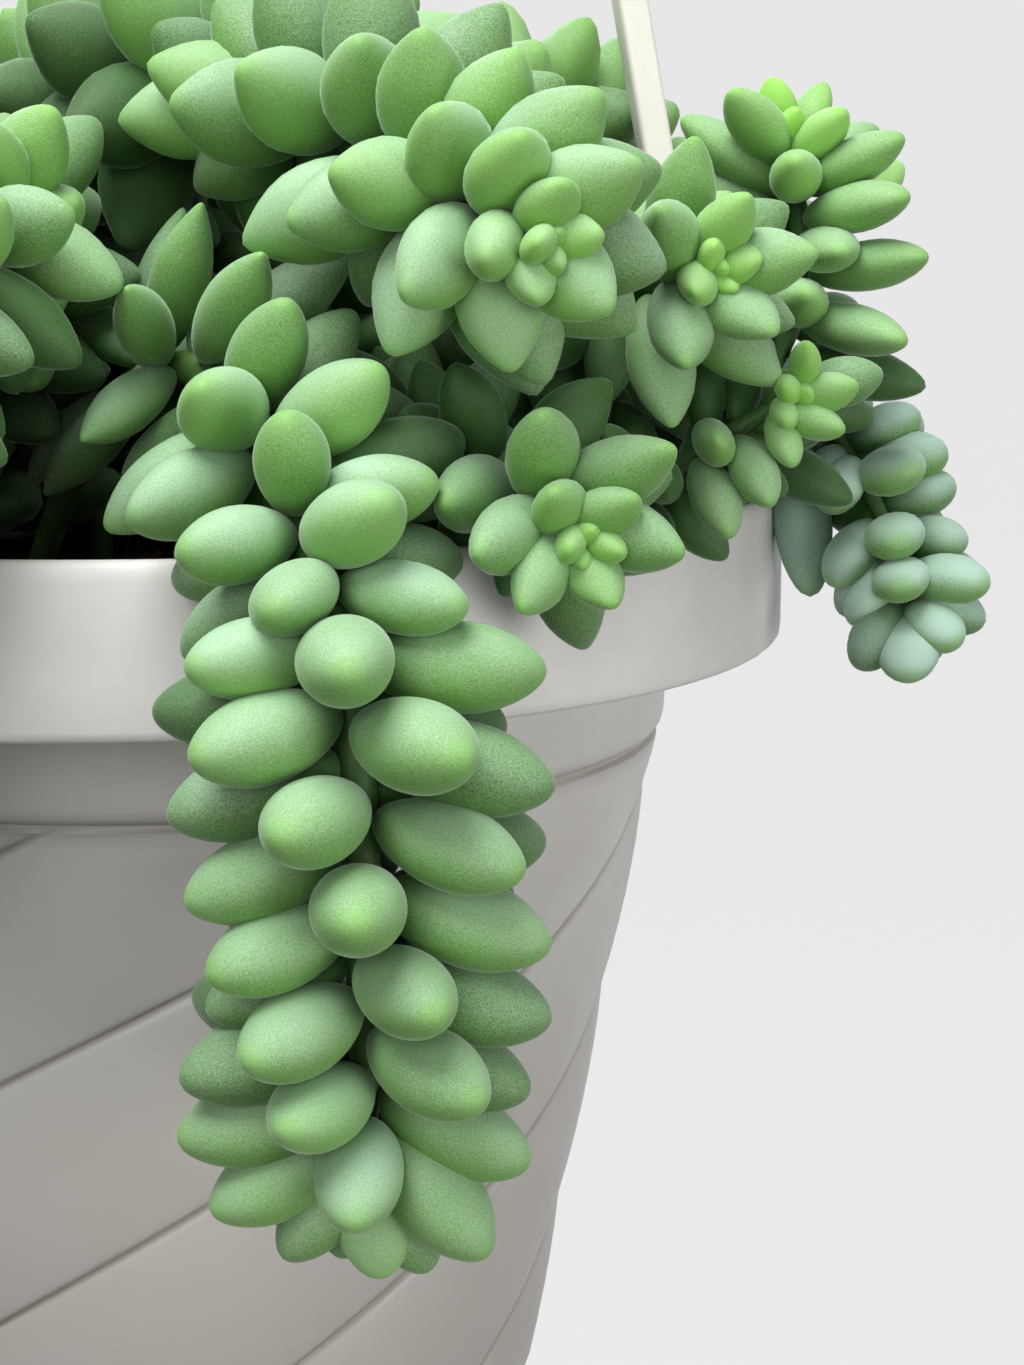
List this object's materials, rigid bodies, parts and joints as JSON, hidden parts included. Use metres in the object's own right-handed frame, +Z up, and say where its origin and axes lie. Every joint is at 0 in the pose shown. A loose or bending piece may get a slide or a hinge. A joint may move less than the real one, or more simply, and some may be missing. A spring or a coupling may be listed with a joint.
{
  "type": "potted burros tail plant",
  "caption": "Hanging pot of burros tail: stems clad in plump pointed leaves arch over and trail past the rim of a swirled pot on a strand hanger.",
  "frame": {"origin": "middle of the pot's flat underside", "axes": "+Z up to the hook, -Y the front, where the long stem hangs over the rim"},
  "size_m": [0.2668, 0.2761, 0.668],
  "materials": {
    "pot_plastic": "satin white moulded plastic",
    "hanger_plastic": "cream moulded plastic",
    "soil": "dark crumbly potting soil",
    "leaf": "grey-green leaf with a powdery bloom"
  },
  "bodies": {
    "root": {"arch": "leaf", "crown": "leaf", "droop": "leaf", "front_trail": "leaf", "hanger_hook": "hanger_plastic", "hanger_strand_1": "hanger_plastic", "hanger_strand_2": "hanger_plastic", "hanger_strand_3": "hanger_plastic", "left_near": "leaf", "lip": "leaf", "pot": "pot_plastic", "right_a": "leaf", "right_b": "leaf", "short_1": "leaf", "short_2": "leaf", "short_3": "leaf", "short_4": "leaf", "short_5": "leaf", "side_shoot": "leaf", "soil": "soil", "top_1": "leaf", "top_2": "leaf", "top_3": "leaf", "top_4": "leaf", "top_5": "leaf", "trail_1": "leaf", "trail_2": "leaf", "trail_3": "leaf", "trail_4": "leaf", "trail_5": "leaf", "trail_6": "leaf", "trail_7": "leaf"}
  },
  "joints": []
}
